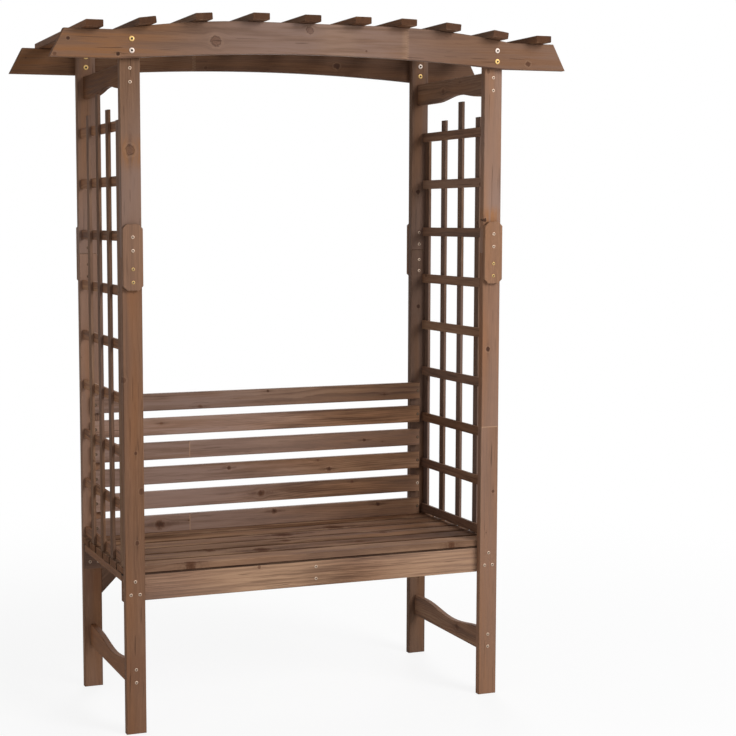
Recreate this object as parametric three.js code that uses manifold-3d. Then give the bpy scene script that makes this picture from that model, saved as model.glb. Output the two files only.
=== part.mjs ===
// An arbour seat: a two-seat garden bench between two trellis sides, under an arched slatted roof.
// All lengths are in millimetres. X runs along the seat, Y runs from front to back and Z is up.
// The origin is on the ground, under the middle of the whole object. Left is the side of -X.

import * as THREE from "three";
import { mergeVertices } from "three/addons/utils/BufferGeometryUtils.js";
import Module from "manifold-3d";

const wasm = await Module();
wasm.setup();

// Driving dimensions of the frame
const frameWidth = 1157; // over the outer edges of the posts
const frameDepth = 512; // over the outer faces of the posts
const beamUnderside = 1867; // height of the roof beams' lower edge
const seatHeight = 470; // height of the seat's top face
const jointGap = 0.3; // between any two pieces that are fixed face to face
const edgeEase = 1.5; // small flat on every sawn edge

// Posts: each is two lengths of board, butted end to end behind a splice plate
const postWidth = 57;
const postThick = 22;
const postTopDrop = 4; // below the top of the beam's end
const spliceHeight = 1334;
const plateWidth = 58;
const plateHeight = 182;
const plateThick = 12;
const plateCorner = 13;

// Roof beams: flat below at both ends, arched between the posts, cut on a slant at the tips
const beamThick = 22;
const beamEndDepth = 76;
const beamOverhang = 196.5; // of the lower edge beyond the posts
const beamSlant = 40; // by which the upper edge is shorter at each tip
const archTopEndFlat = 140;
const archTopMiddleFlat = 370;
const archTopRise = 34;
const archBelowInset = 3.5; // from the posts' outer edges to the arch
const archBelowRise = 24.5;
const archSteps = 8;

// Roof slats: they lie across both beams and lean with the arch
const roofSlatWidth = 48;
const roofSlatThick = 19;
const roofSlatOverhang = 40;
const roofSlatPlaceShares = [-0.9, -0.7, -0.486, -0.263, -0.057, 0.149, 0.339, 0.527, 0.733, 0.925];

// Side boards between a front and a rear post: a brace under the roof and a stretcher near the ground
const sideBoardHeight = 66;
const sideBoardThick = 18;
const braceBelowBeam = 6;
const braceArchRise = 15;
const braceFlatFront = 44; // straight length beside the front post
const braceFlatRear = 124;
const stretcherUnderside = 129;
const stretcherDip = 18.5;
const stretcherFlatFront = 22;
const stretcherFlatRear = 66;
const curveSteps = 16;

// Seat: an apron and a rear rail behind the posts, three bearers between them, and slats on top
const railHeight = 76;
const railThick = 22;
const bearerThick = 22;
const seatSlatCount = 6;
const seatSlatGap = 14.28; // between two slats, which fill the rest of the seat's depth
const seatSlatThick = 20;

// Backrest: slats fixed to the front faces of the rear posts
const backHeight = 433; // from the seat's top face to the top of the highest slat
const backSlatCount = 6;
const backSlatGap = 22.94; // between two slats, which fill the rest of the backrest's height
const backSlatThick = 18;
const backSlatSetback = 32; // from the frame's outer edge to the slats' ends

// Corner braces under the seat, between the rear posts and the rear rail
const cornerBraceWidth = 57;
const cornerBraceDrop = 83; // from the rear rail's lower edge to the brace's lowest corner
const cornerBraceBelowSlats = 10;

// Trellis sides: rails on the inner side, uprights on the outer side, flush with the posts
const lathWidth = 28;
const lathThick = 8.7;
const lathBite = 0.2; // depth to which the nailed laths press into each other
const trellisAboveSeat = 8.5;
const uprightAboveSeat = 3;
const railPitch = 150;
const trellisHeadroom = 88; // from the top rail to the brace
const lastUprightSetback = 106.5; // the end upright stands against one post, the last this far from the other
const spikeHeightShares = [0, 0.39, 0.965, 0.36]; // each upright's height above the top rail, of the headroom

// Beam bolts: flanged heads on the front, flange nuts at the back
const boltShank = 6;
const boltHead = 15;
const boltHeadThick = 2.4;
const boltFlangeThick = 1.2;
const boltSocket = 5;
const boltSocketDepth = 1.8;
const nutFlange = 14;
const nutFlangeThick = 1.4;
const nutBarrel = 10;
const nutThick = 6;
const boltHoleGap = 0.3;
const boltSides = 12;
const boltHeightShares = [0.28, 0.69]; // of the beam's depth at its end
const holeOverrun = 5;

// Places that follow from these
const half = (length) => length / 2;
const postMiddleX = half(frameWidth) - half(postWidth);
const postInnerX = half(frameWidth) - postWidth;
const postOuterY = half(frameDepth);
const postInnerY = postOuterY - postThick;
const beamTopAtEnd = beamUnderside + beamEndDepth;
const beamHalfBelow = half(frameWidth) + beamOverhang;
const beamHalfAbove = beamHalfBelow - beamSlant;
const archTopHalf = beamHalfAbove - archTopEndFlat;
const archBelowHalf = half(frameWidth) - archBelowInset;
const postTop = beamTopAtEnd - postTopDrop;
const slatUnderside = seatHeight - seatSlatThick;
const railTop = slatUnderside - jointGap;
const railUnderside = railTop - railHeight;
const bayFrontY = -postInnerY + jointGap; // inner bay between the front and rear posts
const bayRearY = postInnerY - jointGap;
const apronBackY = bayFrontY + railThick;
const rearRailFrontY = bayRearY - railThick;
const braceUnderside = beamUnderside - braceBelowBeam - sideBoardHeight;
const beamOuterY = postOuterY + jointGap + beamThick;
const sides = [
  { name: "left", sign: -1 },
  { name: "right", sign: 1 },
];

// Timber, with the warm brown of a stained softwood, a little different from board to board
function stainedWood(hue, lightness) {
  const colour = new THREE.Color().setHSL(hue, 0.27, lightness);
  return new THREE.MeshStandardMaterial({ color: colour, roughness: 0.78, metalness: 0 });
}

const postWood = () => stainedWood(0.055, 0.4);
const beamWood = () => stainedWood(0.058, 0.42);
const slatWood = () => stainedWood(0.05, 0.36);
const lathWood = () => stainedWood(0.045, 0.31);
const plateWood = () => stainedWood(0.064, 0.45);

function platedSteel() {
  return new THREE.MeshStandardMaterial({ color: 0xc9b48a, roughness: 0.38, metalness: 0.9 });
}

// A board cut to an outline in its own plane, from 0 up to its thickness, with every edge eased
function boardFromOutline(points, thickness) {
  const shape = new THREE.Shape(points.map(([x, y]) => new THREE.Vector2(x, y)));
  const geometry = new THREE.ExtrudeGeometry(shape, {
    depth: thickness - edgeEase - edgeEase,
    bevelEnabled: true,
    bevelThickness: edgeEase,
    bevelSize: edgeEase,
    bevelOffset: -edgeEase,
    bevelSegments: 1,
    curveSegments: 1,
  });
  return geometry.translate(0, 0, edgeEase);
}

// The four corners of a rectangle from its low and high sides
const rectangle = (x0, y0, x1, y1) => [
  [x0, y0],
  [x1, y0],
  [x1, y1],
  [x0, y1],
];

const axisX = new THREE.Vector3(1, 0, 0);
const axisY = new THREE.Vector3(0, 1, 0);
const axisZ = new THREE.Vector3(0, 0, 1);

// Turns a board so that its outline stands along X and Z, and its thickness runs to the front
function standAcross(geometry) {
  return geometry.applyMatrix4(new THREE.Matrix4().makeBasis(axisX, axisZ, axisY.clone().negate()));
}

// Turns a board so that its outline stands along Y and Z, and its thickness runs to +X
function standAlong(geometry) {
  return geometry.applyMatrix4(new THREE.Matrix4().makeBasis(axisY, axisZ, axisX));
}

function piece(name, geometry, material, x, y, z) {
  const mesh = new THREE.Mesh(geometry, material);
  mesh.name = name;
  mesh.position.set(x, y, z);
  return mesh;
}

// Joins and cuts closed meshes that share one frame
function solidFrom(geometry) {
  const plain = new THREE.BufferGeometry();
  plain.setAttribute("position", geometry.getAttribute("position").clone());
  if (geometry.index) plain.setIndex(geometry.index);
  const merged = mergeVertices(plain);
  return new wasm.Manifold(
    new wasm.Mesh({
      numProp: 3,
      vertProperties: merged.attributes.position.array,
      triVerts: new Uint32Array(merged.index.array),
    }),
  );
}

function geometryFrom(solid) {
  const mesh = solid.getMesh();
  const geometry = new THREE.BufferGeometry();
  geometry.setAttribute("position", new THREE.BufferAttribute(new Float32Array(mesh.vertProperties), 3));
  geometry.setIndex(new THREE.BufferAttribute(new Uint32Array(mesh.triVerts), 1));
  geometry.computeVertexNormals();
  return geometry;
}

function joined(geometries) {
  return geometryFrom(geometries.map(solidFrom).reduce((all, next) => all.add(next)));
}

function cut(geometry, tools) {
  return geometryFrom(tools.map(solidFrom).reduce((rest, tool) => rest.subtract(tool), solidFrom(geometry)));
}

// A round cutter along Y for one bolt hole, from y0 to y1
function boltHole(x, y0, y1, z) {
  const radius = half(boltShank) + boltHoleGap;
  const length = y1 - y0 + holeOverrun + holeOverrun;
  return new THREE.CylinderGeometry(radius, radius, length, boltSides).translate(x, half(y0 + y1), z);
}

const boltHeights = boltHeightShares.map((share) => beamUnderside + share * beamEndDepth);

// The radius of an arc that rises by this much over half its chord
const radiusOfArc = (halfChord, rise) => (halfChord * halfChord + rise * rise) / (rise + rise);

// The upper edge of a beam above its lower edge: level at the tips, then an arc, then level in the middle
function roofLine(x) {
  const beyond = Math.max(0, Math.abs(x) - half(archTopMiddleFlat));
  const reach = archTopHalf - half(archTopMiddleFlat);
  if (beyond >= reach) return { height: beamEndDepth, slope: 0 };
  const radius = radiusOfArc(reach, archTopRise);
  const across = Math.sqrt(radius * radius - beyond * beyond);
  return {
    height: beamEndDepth + archTopRise - radius + across,
    slope: (-Math.sign(x) * beyond) / across,
  };
}

// The lower edge of a beam between the posts: one shallow arc
function archBelow(x) {
  const radius = radiusOfArc(archBelowHalf, archBelowRise);
  return Math.sqrt(radius * radius - x * x) - radius + archBelowRise;
}

function beamOutline() {
  const below = [];
  for (let i = -archSteps; i <= archSteps; i++) {
    const x = (archBelowHalf * i) / archSteps;
    below.push([x, archBelow(x)]);
  }
  const rightArc = [];
  for (let i = 0; i <= archSteps; i++) {
    const x = archTopHalf - ((archTopHalf - half(archTopMiddleFlat)) * i) / archSteps;
    rightArc.push([x, roofLine(x).height]);
  }
  const leftArc = rightArc.map(([x, z]) => [-x, z]).reverse();
  return [
    [-beamHalfBelow, 0],
    ...below,
    [beamHalfBelow, 0],
    [beamHalfAbove, beamEndDepth],
    ...rightArc,
    ...leftArc,
    [-beamHalfAbove, beamEndDepth],
  ];
}

// A side board between two posts, with one smooth sweep cut into a long edge: into the lower edge from
// below, or into the upper edge from above, between two straight lengths beside the posts
function sweptBoard(flatFront, flatRear, depth, fromAbove) {
  const sweepLength = bayRearY - flatRear - bayFrontY - flatFront;
  const edge = [];
  for (let i = 0; i <= curveSteps; i++) {
    const share = i / curveSteps;
    const cutDepth = depth * half(1 - Math.cos(2 * Math.PI * share));
    const y = bayFrontY + flatFront + share * sweepLength;
    edge.push([y, fromAbove ? sideBoardHeight - cutDepth : cutDepth]);
  }
  const straight = fromAbove ? 0 : sideBoardHeight;
  const swept = fromAbove ? sideBoardHeight : 0;
  const outline = [
    [bayFrontY, straight],
    [bayFrontY, swept],
    ...edge,
    [bayRearY, swept],
    [bayRearY, straight],
  ];
  return standAlong(boardFromOutline(outline, sideBoardThick));
}

// Posts and the plates that splice them
function posts() {
  const rows = [
    { name: "front", back: -postInnerY, plateBack: -postOuterY - jointGap },
    { name: "rear", back: postOuterY, plateBack: postOuterY + jointGap + plateThick },
  ];
  const made = [];
  for (const row of rows)
    for (const side of sides) {
      const x = side.sign * postMiddleX;
      const outline = (low, high) => rectangle(-half(postWidth), low, half(postWidth), high);
      const lower = standAcross(boardFromOutline(outline(0, spliceHeight - jointGap), postThick));
      const holes = boltHeights.map((z) => boltHole(0, -postThick, 0, z));
      const upper = cut(standAcross(boardFromOutline(outline(spliceHeight, postTop), postThick)), holes);
      made.push(piece(`post_lower_${row.name}_${side.name}`, lower, postWood(), x, row.back, 0));
      made.push(piece(`post_upper_${row.name}_${side.name}`, upper, postWood(), x, row.back, 0));
      const plateName = `splice_plate_${row.name}_${side.name}`;
      made.push(piece(plateName, splicePlate(), plateWood(), x, row.plateBack, spliceHeight));
    }
  return made;
}

function splicePlate() {
  const w = half(plateWidth);
  const h = half(plateHeight);
  const c = plateCorner;
  const outline = [
    [-w + c, -h],
    [w - c, -h],
    [w, -h + c],
    [w, h - c],
    [w - c, h],
    [-w + c, h],
    [-w, h - c],
    [-w, -h + c],
  ];
  return standAcross(boardFromOutline(outline, plateThick));
}

// The two arched roof beams, outside the posts
function roofBeams() {
  const rows = [
    { name: "front", back: -postOuterY - jointGap },
    { name: "rear", back: beamOuterY },
  ];
  return rows.map((row) => {
    const holes = sides.flatMap((side) =>
      boltHeights.map((z) => boltHole(side.sign * postMiddleX, -beamThick, 0, z - beamUnderside)),
    );
    const beam = cut(standAcross(boardFromOutline(beamOutline(), beamThick)), holes);
    return piece(`roof_beam_${row.name}`, beam, beamWood(), 0, row.back, beamUnderside);
  });
}

function roofSlats() {
  const halfLength = beamOuterY + roofSlatOverhang;
  return roofSlatPlaceShares.map((share, i) => {
    const x = share * beamHalfAbove;
    const line = roofLine(x);
    const tilt = Math.atan(line.slope);
    const outline = rectangle(-half(roofSlatWidth), -halfLength, half(roofSlatWidth), halfLength);
    const slat = boardFromOutline(outline, roofSlatThick).translate(0, 0, jointGap);
    const name = `roof_slat_${String(i + 1).padStart(2, "0")}`;
    const mesh = piece(name, slat, slatWood(), x, 0, beamUnderside + line.height);
    mesh.rotation.y = -tilt;
    return mesh;
  });
}

// Braces under the roof and stretchers near the ground, centred on the posts' width
function sideBoards() {
  return sides.flatMap((side) => {
    const x = side.sign * postMiddleX - half(sideBoardThick);
    const brace = sweptBoard(braceFlatFront, braceFlatRear, braceArchRise, false);
    const stretcher = sweptBoard(stretcherFlatFront, stretcherFlatRear, stretcherDip, true);
    return [
      piece(`side_brace_${side.name}`, brace, slatWood(), x, 0, braceUnderside),
      piece(`leg_stretcher_${side.name}`, stretcher, slatWood(), x, 0, stretcherUnderside),
    ];
  });
}

// The seat's frame and slats
function seat() {
  const railOutline = rectangle(-half(frameWidth), 0, half(frameWidth), railHeight);
  const rail = () => standAcross(boardFromOutline(railOutline, railThick));
  const made = [
    piece("seat_apron_front", rail(), beamWood(), 0, apronBackY, railUnderside),
    piece("seat_rail_rear", rail(), beamWood(), 0, bayRearY, railUnderside),
  ];
  const bearerFrontY = apronBackY + jointGap;
  const bearerRearY = rearRailFrontY - jointGap;
  for (const side of sides) {
    const outline = rectangle(-half(postWidth), bearerFrontY, half(postWidth), bearerRearY);
    const flat = boardFromOutline(outline, bearerThick);
    const x = side.sign * postMiddleX;
    made.push(piece(`seat_bearer_${side.name}`, flat, slatWood(), x, 0, railTop - bearerThick));
  }
  const upright = rectangle(bearerFrontY, 0, bearerRearY, railHeight);
  const centre = standAlong(boardFromOutline(upright, bearerThick));
  made.push(piece("seat_bearer_centre", centre, slatWood(), -half(bearerThick), 0, railUnderside));

  const pitch = (bayRearY - bayFrontY + seatSlatGap) / seatSlatCount;
  for (let i = 0; i < seatSlatCount; i++) {
    const y = bayFrontY + i * pitch;
    const outline = rectangle(-half(frameWidth), 0, half(frameWidth), pitch - seatSlatGap);
    const slat = boardFromOutline(outline, seatSlatThick);
    made.push(piece(`seat_slat_${i + 1}`, slat, slatWood(), 0, y, slatUnderside));
  }
  return made;
}

function backSlats() {
  const low = seatHeight + jointGap;
  const pitch = (backHeight - jointGap + backSlatGap) / backSlatCount;
  const end = half(frameWidth) - backSlatSetback;
  const made = [];
  for (let i = 0; i < backSlatCount; i++) {
    const z = low + (backSlatCount - 1 - i) * pitch;
    const outline = rectangle(-end, 0, end, pitch - backSlatGap);
    const slat = standAcross(boardFromOutline(outline, backSlatThick));
    made.push(piece(`back_slat_${i + 1}`, slat, slatWood(), 0, bayRearY, z));
  }
  return made;
}

// Slanting braces between the rear posts, against the rear rail's back face
function cornerBraces() {
  const foot = railUnderside - cornerBraceDrop;
  const cutHeight = cornerBraceWidth * Math.SQRT2; // of a board cut upright at 45 degrees
  const top = slatUnderside - cornerBraceBelowSlats;
  return sides.map((side) => {
    const x = side.sign * (postInnerX - jointGap);
    const inward = (z) => x - side.sign * (z - foot);
    const outline = [
      [x, foot],
      [inward(top), top],
      [inward(top - cutHeight), top],
      [x, foot + cutHeight],
    ];
    const brace = standAcross(boardFromOutline(outline, postThick));
    return piece(`corner_brace_${side.name}`, brace, slatWood(), 0, postOuterY, 0);
  });
}

// One trellis panel, as it stands on the left side, with its end upright against the front post
function trellisPanel() {
  const railLow = seatHeight + trellisAboveSeat;
  const topRailLow = braceUnderside - trellisHeadroom - lathWidth;
  const bays = Math.max(1, Math.round((topRailLow - railLow) / railPitch));
  const pitch = (topRailLow - railLow) / bays;
  const laths = [];
  const lath = (x, y0, y1, z0, z1) => {
    const box = new THREE.BoxGeometry(lathThick, y1 - y0, z1 - z0);
    laths.push(box.translate(x + half(lathThick), half(y0 + y1), half(z0 + z1)));
  };
  const uprightX = -half(frameWidth);
  const railX = uprightX + lathThick - lathBite;
  for (let i = 0; i <= bays; i++) {
    const z = railLow + i * pitch;
    lath(railX, bayFrontY, bayRearY, z, z + lathWidth);
  }
  const lastY = bayRearY - lastUprightSetback - lathWidth;
  const uprightPitch = (lastY - bayFrontY) / (spikeHeightShares.length - 1);
  spikeHeightShares.forEach((share, i) => {
    const y = bayFrontY + i * uprightPitch;
    const top = topRailLow + lathWidth + share * trellisHeadroom;
    lath(uprightX, y, y + lathWidth, seatHeight + uprightAboveSeat, top);
  });
  return joined(laths);
}

function trellises() {
  return sides.map((side) => {
    const mesh = piece(`trellis_${side.name}`, trellisPanel(), lathWood(), 0, 0, 0);
    if (side.sign > 0) mesh.rotation.z = Math.PI;
    return mesh;
  });
}

// A bolt along Y through a stack of boards from y0 to y1, with its nut run up at the back
function beamBolt(y0, y1) {
  const r = half(boltShank);
  const face = -jointGap;
  const end = y1 - y0 + jointGap;
  const profile = [
    [0, face - boltHeadThick + boltSocketDepth],
    [half(boltSocket), face - boltHeadThick + boltSocketDepth],
    [half(boltSocket), face - boltHeadThick],
    [half(boltHead) - boltFlangeThick, face - boltHeadThick],
    [half(boltHead), face - boltFlangeThick],
    [half(boltHead), face],
    [r, face],
    [r, end],
    [half(nutFlange), end],
    [half(nutFlange), end + nutFlangeThick],
    [half(nutBarrel), end + nutFlangeThick],
    [half(nutBarrel), end + nutThick],
    [0, end + nutThick],
  ];
  const points = profile.map(([radius, y]) => new THREE.Vector2(radius, y));
  return new THREE.LatheGeometry(points, boltSides);
}

function beamBolts() {
  const rows = [
    { name: "front", y0: -beamOuterY, y1: -postInnerY },
    { name: "rear", y0: postInnerY, y1: beamOuterY },
  ];
  return rows.flatMap((row) =>
    sides.flatMap((side) =>
      ["lower", "upper"].map((level, i) => {
        const name = `beam_bolt_${row.name}_${side.name}_${level}`;
        const x = side.sign * postMiddleX;
        return piece(name, beamBolt(row.y0, row.y1), platedSteel(), x, row.y0, boltHeights[i]);
      }),
    ),
  );
}

const arbourSeat = new THREE.Group();
arbourSeat.add(
  ...posts(),
  ...roofBeams(),
  ...roofSlats(),
  ...sideBoards(),
  ...seat(),
  ...backSlats(),
  ...cornerBraces(),
  ...trellises(),
  ...beamBolts(),
);

export default arbourSeat;
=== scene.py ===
"""The looks of an arbour seat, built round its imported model.

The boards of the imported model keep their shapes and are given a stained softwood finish, board by board.
The trellis laths, the beam bolts and the wood screws and nails are modelled here.
All lengths are in metres. X runs along the seat, Y from front to back, and Z is up.
"""

import functools
import math

import bmesh
import bpy
from bpy.props import BoolProperty, FloatProperty, FloatVectorProperty, IntProperty, PointerProperty
from mathutils import Matrix, Vector


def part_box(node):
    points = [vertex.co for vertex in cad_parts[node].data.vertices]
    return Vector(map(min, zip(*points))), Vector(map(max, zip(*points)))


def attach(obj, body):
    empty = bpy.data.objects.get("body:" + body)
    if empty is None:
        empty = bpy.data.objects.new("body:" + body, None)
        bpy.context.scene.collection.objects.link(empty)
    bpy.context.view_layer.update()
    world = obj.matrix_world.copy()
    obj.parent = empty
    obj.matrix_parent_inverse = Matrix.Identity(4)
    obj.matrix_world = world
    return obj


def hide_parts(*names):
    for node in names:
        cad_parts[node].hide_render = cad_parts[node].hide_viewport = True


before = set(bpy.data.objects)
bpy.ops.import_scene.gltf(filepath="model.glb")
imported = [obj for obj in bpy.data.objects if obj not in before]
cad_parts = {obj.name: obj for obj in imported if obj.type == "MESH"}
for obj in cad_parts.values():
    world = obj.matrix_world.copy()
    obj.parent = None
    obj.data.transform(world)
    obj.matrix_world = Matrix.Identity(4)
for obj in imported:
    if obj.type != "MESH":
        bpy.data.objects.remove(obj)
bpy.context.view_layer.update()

bl_info = {
    "name": "Arbour Seat",
    "version": (1, 0, 0),
    "blender": (4, 5, 0),
    "location": "View3D > Sidebar > Arbour",
    "description": "Stains the boards of an arbour seat and adds its laths, bolts, screws and nails",
    "category": "Object",
}

SIDES = (("left", -1), ("right", 1))
ALONG_X = Vector((1, 0, 0))
ALONG_Y = Vector((0, 1, 0))
ALONG_Z = Vector((0, 0, 1))


# Sizes and colours that a user would change

def colour_setting(name, description, default):
    return FloatVectorProperty(
        name=name, description=description, subtype="COLOR", size=3, min=0, max=1, default=default)


def length_setting(name, description, low, high, default):
    return FloatProperty(
        name=name, description=description, subtype="DISTANCE", min=low, max=high, default=default)


def power_setting(name, description, default):
    return FloatProperty(
        name=name, description=description, subtype="POWER", min=0, max=2000, default=default)


def turn_setting(name, description, default):
    return FloatProperty(name=name, description=description, subtype="ANGLE", default=default)


class WoodLook(bpy.types.PropertyGroup):
    pale_grain: colour_setting(
        "Pale grain", "Stain over the soft, pale part of the grain", (0.325, 0.198, 0.122))
    middle_grain: colour_setting("Middle grain", "Stain over most of a board", (0.202, 0.106, 0.060))
    dark_grain: colour_setting(
        "Dark grain", "Stain over the hard, dark part of the grain", (0.072, 0.033, 0.018))
    warm_patch: colour_setting(
        "Warm patches", "Where the stain is thin and the wood glows through", (0.258, 0.118, 0.051))
    grey_bloom: colour_setting(
        "Grey bloom", "Where the stain has dried greyish on the surface", (0.252, 0.166, 0.134))
    knot_heart: colour_setting("Knot heart", "Body of a knot", (0.150, 0.062, 0.032))
    knot_rim: colour_setting("Knot rim", "Dark outline and eye of a knot", (0.040, 0.017, 0.010))
    ring_spacing: length_setting("Ring spacing", "Distance between two growth rings", 0.001, 0.02, 0.0042)
    knot_spacing: length_setting(
        "Knot spacing", "Usual distance along a board between small knots", 0.1, 2.0, 0.31)
    relief: length_setting("Grain relief", "Height of the raised grain", 0, 0.003, 0.0005)


class FixingLook(bpy.types.PropertyGroup):
    screw_head: length_setting("Screw head", "Diameter of a wood screw's head", 0.004, 0.02, 0.0098)
    screw_rise: length_setting(
        "Screw rise", "Height of a screw's head above the board", 0.0005, 0.004, 0.0014)
    nail_head: length_setting("Nail head", "Diameter of a lath nail's head", 0.001, 0.01, 0.0032)
    roof_nail_head: length_setting(
        "Roof nail head", "Diameter of a roof nail's flat head", 0.003, 0.015, 0.0072)
    bolt_head: length_setting("Bolt head", "Diameter of a beam bolt's flanged head", 0.008, 0.03, 0.015)
    bolt_shank: length_setting("Bolt shank", "Diameter of a beam bolt", 0.003, 0.012, 0.006)
    yellow_plating: colour_setting("Yellow plating", "Colour of the yellow zinc plating", (0.66, 0.45, 0.18))
    white_plating: colour_setting("White plating", "Colour of the bright zinc plating", (0.62, 0.53, 0.47))
    stained_over: colour_setting(
        "Stained over", "Colour of the screws that were stained along with the boards", (0.115, 0.070, 0.046))
    screw_dullness: FloatProperty(
        name="Screw dullness", description="How much darker the screws are than the bolts",
        min=0, max=1, default=0.22)


class TrellisLook(bpy.types.PropertyGroup):
    lath_width: length_setting("Lath width", "Width of a lath", 0.01, 0.06, 0.028)
    lath_thickness: length_setting("Lath thickness", "Thickness of a lath", 0.003, 0.02, 0.0087)
    edge_radius: length_setting("Edge radius", "Rounding of a lath's sanded edges", 0.0002, 0.003, 0.0009)
    lowest_rail: length_setting("Lowest rail", "Height of the lowest rail's lower edge", 0.3, 0.8, 0.4745)
    highest_rail: length_setting("Highest rail", "Height of the highest rail's upper edge", 1.0, 2.0, 1.707)
    rail_count: IntProperty(
        name="Rails", description="Number of rails in a panel", min=2, max=20, default=9)
    last_upright: length_setting(
        "Last upright", "Distance from the left panel's last upright to the rear post", 0, 0.3, 0.1065)
    right_spread: length_setting(
        "Right spread", "How much wider the uprights of the right panel are spread", 0, 0.05, 0.0095)


class StageLook(bpy.types.PropertyGroup):
    floor_colour: colour_setting("Floor", "Colour of the plain floor", (0.90, 0.90, 0.90))
    key_power: power_setting("Main light", "Power of the large soft light in front", 250)
    fill_power: power_setting("Second light", "Power of the soft light on the left", 18)
    back_power: power_setting("Back light", "Power of the soft light behind", 115)
    surround: FloatProperty(
        name="Surround", description="Strength of the even light from all round",
        min=0, max=2, default=0.30)
    camera_place: FloatVectorProperty(
        name="Camera place", description="Where the camera stands",
        subtype="TRANSLATION", unit="LENGTH", size=3, default=(-1.7129, -4.4642, 1.4438))
    camera_heading: turn_setting(
        "Camera heading", "Turn of the camera to the right of straight ahead", 0.336887)
    camera_dip: turn_setting("Camera dip", "Turn of the camera below level", 0.094749)
    camera_roll: turn_setting(
        "Camera roll", "Turn of the camera about its own line of sight", -0.0046637)
    show_floor: BoolProperty(
        name="Floor", description="Whether the floor is laid", default=True)


# Materials: a class for a socket with arithmetic, and two for a tree of nodes under construction

def sum_with(operation, swapped=False):
    """A method of Value that adds one Math node. Swapped is for a number that stands before the value."""
    def worked_out(self, *others):
        numbers = (self, *others)
        if swapped:
            numbers = numbers[::-1]
        return self.recipe.add("ShaderNodeMath", {"operation": operation}, dict(enumerate(numbers)))
    return worked_out


class Value:
    """A number or colour that varies over a surface. Arithmetic on it adds Math nodes."""

    __add__ = sum_with("ADD")
    __radd__ = sum_with("ADD", swapped=True)
    __sub__ = sum_with("SUBTRACT")
    __rsub__ = sum_with("SUBTRACT", swapped=True)
    __mul__ = sum_with("MULTIPLY")
    __rmul__ = sum_with("MULTIPLY", swapped=True)
    __truediv__ = sum_with("DIVIDE")
    __gt__ = sum_with("GREATER_THAN")
    __pow__ = sum_with("POWER")
    __abs__ = sum_with("ABSOLUTE")
    remainder = sum_with("FRACT")
    whole = sum_with("FLOOR")
    swing = sum_with("PINGPONG")
    largest = sum_with("MAXIMUM")

    def __init__(self, recipe, socket):
        self.recipe = recipe
        self.socket = socket

    def out(self, name):
        return Value(self.recipe, self.socket.node.outputs[name])

    def step(self, low, high):
        """0 at low and 1 at high, with a smooth change between them. Low may be above high."""
        return self.recipe.add(
            "ShaderNodeMapRange", {"interpolation_type": "SMOOTHSTEP"},
            {"Value": self, "From Min": low, "From Max": high})


class Recipe:
    """A tree of nodes under construction."""

    def __init__(self, tree):
        self.tree = tree

    def add(self, kind, settings=None, inputs=None, output=0):
        node = self.tree.nodes.new(kind)
        for setting, value in (settings or {}).items():
            if setting == "stops":
                stops = node.color_ramp.elements
                while len(stops) < len(value):
                    stops.new(0.5)
                for stop, (position, colour) in zip(stops, value):
                    stop.position = position
                    stop.color = (*colour, 1)
            else:
                setattr(node, setting, value)
        for socket, value in (inputs or {}).items():
            self.feed(node.inputs[socket], value)
        return Value(self, node.outputs[output]) if node.outputs else node

    def feed(self, socket, value):
        if isinstance(value, Value):
            self.tree.links.new(value.socket, socket)
        else:
            socket.default_value = value

    def along(self, vector, axis):
        """How far a point lies along an axis."""
        return self.add("ShaderNodeVectorMath", {"operation": "DOT_PRODUCT"}, {0: vector, 1: axis}, "Value")

    def point(self, x, y, z):
        return self.add("ShaderNodeCombineXYZ", None, {0: x, 1: y, 2: z})

    def length(self, x, y):
        return self.add("ShaderNodeVectorMath", {"operation": "LENGTH"}, {0: self.point(x, y, 0.0)}, "Value")

    def noise(self, vector, scales, shift, detail=2.0, roughness=0.5):
        """Noise of its own fineness along each axis."""
        stretched = self.add(
            "ShaderNodeVectorMath", {"operation": "MULTIPLY_ADD"}, {0: vector, 1: scales, 2: shift})
        return self.add(
            "ShaderNodeTexNoise", None,
            {"Vector": stretched, "Scale": 1.0, "Detail": detail, "Roughness": roughness})

    def blend(self, share, first, second):
        """A colour between two colours."""
        inputs = {0: share}
        for socket, colour in ((6, first), (7, second)):
            inputs[socket] = colour if isinstance(colour, Value) else (*colour, 1)
        return self.add("ShaderNodeMix", {"data_type": "RGBA", "clamp_factor": True}, inputs, 2)


class Finish(Recipe):
    """A material under construction, round one Principled shader. It reads the piece's own coordinates."""

    def __init__(self, name, colour=None):
        self.colour = colour
        self.material = bpy.data.materials.new(name)
        self.material.use_nodes = True
        super().__init__(self.material.node_tree)
        self.surface = self.tree.nodes["Principled BSDF"]
        self.place = self.add("ShaderNodeTexCoord", None, None, "Object")
        self.facing = self.place.out("Normal")

    def glaze(self, share, colour):
        """Lays a colour over what is there so far."""
        self.colour = self.blend(share, self.colour, colour)

    def raise_grain(self, height, distance, strength=0.6):
        bump = self.add(
            "ShaderNodeBump", None, {"Strength": strength, "Distance": distance, "Height": height})
        self.feed(self.surface.inputs["Normal"], bump)

    def done(self, **inputs):
        for socket, value in inputs.items():
            self.feed(self.surface.inputs[socket.replace("_", " ")], value)
        self.feed(self.surface.inputs["Base Color"], self.colour)
        return self.material


def toned(colour, tone, warmth=0.0):
    """A colour made lighter or darker, and a little warmer or cooler."""
    shift = (1 + warmth, 1.0, 1 - warmth)
    return tuple(min(1.0, part * tone * change) for part, change in zip(colour, shift))


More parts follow.
